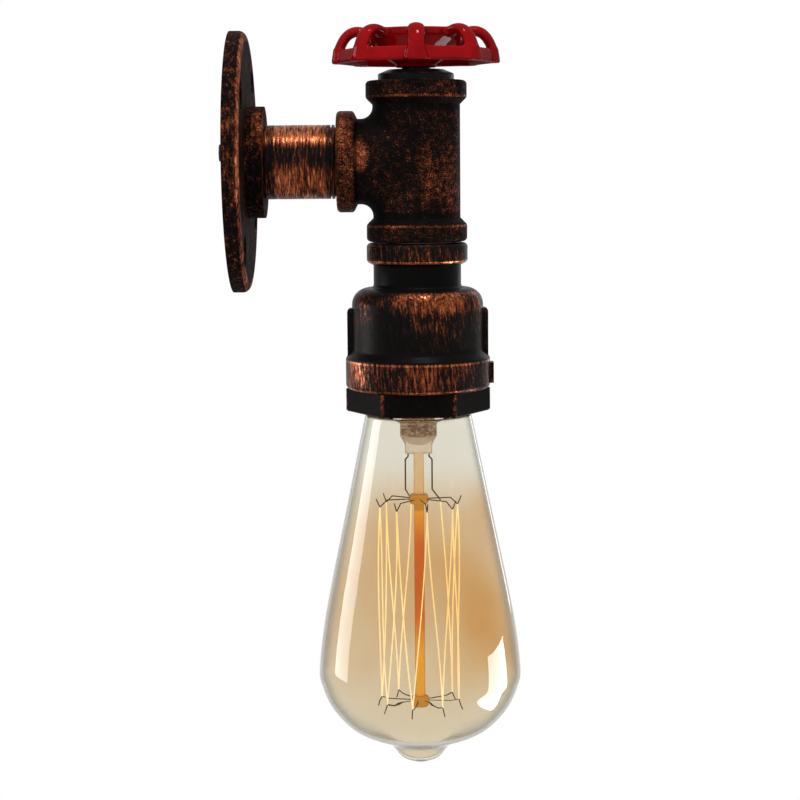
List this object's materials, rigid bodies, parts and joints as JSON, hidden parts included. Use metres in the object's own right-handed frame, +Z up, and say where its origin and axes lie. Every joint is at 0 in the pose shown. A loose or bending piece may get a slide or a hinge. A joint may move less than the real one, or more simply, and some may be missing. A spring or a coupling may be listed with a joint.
{
  "type": "pipe wall light",
  "caption": "Wall light made of brushed-copper pipe fittings: a round flange, short nipple and tee with a red handwheel on top, and a reducing socket that holds a teardrop filament bulb.",
  "frame": {"origin": "centre of the wall flange's back face, on the wall", "axes": "+X points out from the wall along the nipple, +Z points up, +Y completes the right-handed frame, so the picture looks along +Y"},
  "size_m": [0.0928, 0.08, 0.232],
  "materials": {
    "brushed_copper_cast": "black paint rubbed back to a brushed copper colour on rough cast iron",
    "brushed_copper_pipe": "black paint rubbed back to a brushed copper colour on smooth pipe",
    "black_enamel": "slightly glossy black paint",
    "red_enamel": "glossy red enamel on cast metal",
    "plain_pipe": "plain threaded steel pipe",
    "bright_steel": "bright turned or plated steel",
    "brass": "plain brass",
    "lamp_brass": "thin rolled brass",
    "moulded_base": "dark moulded phenolic",
    "card_sleeve": "insulating card",
    "brown_core": "matt brown cable sheath",
    "blue_core": "matt blue cable sheath",
    "green_core": "matt green and yellow cable sheath",
    "black_sleeve": "matt black woven sleeve",
    "solder": "dull solder",
    "amber_glass": "clear blown glass with a light amber tint",
    "black_glass": "opaque black glass",
    "stem_glass": "clear glass tube and rod with an amber tint",
    "dark_wire": "dark oxidised wire",
    "golden_filament": "pale golden filament"
  },
  "bodies": {
    "fixture": {"wall_flange": "brushed_copper_cast", "pipe_nipple": "brushed_copper_pipe", "tee_fitting": "brushed_copper_cast", "top_plug": "black_enamel", "close_nipple": "plain_pipe", "reducing_socket": "brushed_copper_cast", "hex_bushing": "brushed_copper_cast", "earth_ring": "brass", "lampholder_base": "moulded_base", "centre_contact": "brass", "live_terminal": "brass", "neutral_terminal": "brass", "pinch_screws": "bright_steel", "screw_shell": "lamp_brass", "shell_rivets": "brass", "shell_insulator": "card_sleeve", "live_wire": "brown_core", "neutral_wire": "blue_core", "earth_wire": "green_core", "supply_sleeve": "black_sleeve"},
    "wheel": {"handwheel": "red_enamel", "wheel_spindle": "bright_steel", "spindle_clip": "bright_steel", "thrust_washer": "bright_steel", "lock_washer": "bright_steel", "wheel_nut": "bright_steel"},
    "bulb_tip": {"cap_contact": "solder"},
    "bulb": {"glass_envelope": "amber_glass", "bulb_cap": "lamp_brass", "cap_insulator": "black_glass", "glass_stem": "stem_glass", "lead_wires": "dark_wire", "upper_hooks": "dark_wire", "lower_hooks": "dark_wire", "filament": "golden_filament"}
  },
  "joints": [
    {"name": "wheel_turn", "type": "hinge", "parent": "fixture", "child": "wheel", "pos_m": [0.0568, 0, 0.028], "axis": [0, 0, 1], "continuous": true},
    {"name": "bulb_drop", "type": "slide", "parent": "fixture", "child": "bulb_tip", "axis": [0, 0, -1], "range_m": [0, 0.0291]},
    {"name": "bulb_turn", "type": "hinge", "parent": "bulb_tip", "child": "bulb", "pos_m": [0.0568, 0, -0.078], "axis": [0, 0, -1], "range_deg": [0, 2880]}
  ],
  "couplings": [
    {"joint": "bulb_drop", "follows": "bulb_turn", "m_per_rad": 0.00057757}
  ]
}
